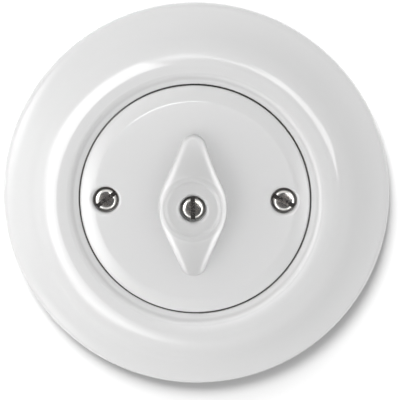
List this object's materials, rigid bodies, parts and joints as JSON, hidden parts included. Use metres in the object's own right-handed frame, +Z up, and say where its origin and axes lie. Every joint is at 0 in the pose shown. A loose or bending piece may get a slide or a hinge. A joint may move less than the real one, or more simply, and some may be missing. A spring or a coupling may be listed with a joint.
{
  "type": "rotary light switch",
  "caption": "Round flush-mounted rotary light switch with a swelling porcelain frame, a porcelain cover plate held by slotted screws and a lozenge knob.",
  "frame": {"origin": "centre of the box screw pattern in the wall plane, on the knob's axis", "axes": "-Y towards the room along the knob's axis, +Z up, +X to the right as seen from the room"},
  "size_m": [0.1, 0.0478, 0.1],
  "materials": {
    "porcelain": "glossy white glaze",
    "nickel": "nickel plated",
    "steel": "turned and milled",
    "spring_steel": "blued spring steel",
    "thermoset": "pressed dark thermoset",
    "brass": "machined",
    "zinc": "zinc plated",
    "fibre": "hard paper",
    "steatite": "unglazed",
    "bronze": "rolled strip"
  },
  "bodies": {
    "housing": {"frame": "porcelain", "cover_plate": "porcelain", "cover_screws": "nickel", "detent_spring_left": "spring_steel", "detent_spring_right": "spring_steel", "support_ring": "zinc", "cover_post_left": "brass", "cover_post_right": "brass", "bearing_bridge": "brass", "base_screws": "zinc", "insulating_disc": "fibre", "base": "steatite", "common_terminal": "brass", "first_way_terminal": "brass", "second_way_terminal": "brass", "common_contact": "bronze", "first_way_contact": "bronze", "second_way_contact": "bronze", "contact_rivets": "brass", "terminal_screws": "zinc"},
    "rotor": {"knob": "porcelain", "knob_screw": "nickel", "spindle": "steel", "spindle_clip": "spring_steel", "rotor_drum": "thermoset", "contact_ring": "brass"}
  },
  "joints": [
    {"name": "knob_turn", "type": "hinge", "parent": "housing", "child": "rotor", "pos_m": [0, 0, 0], "axis": [0, -1, 0], "continuous": true, "deforming": ["detent_spring_left", "detent_spring_right"]}
  ]
}
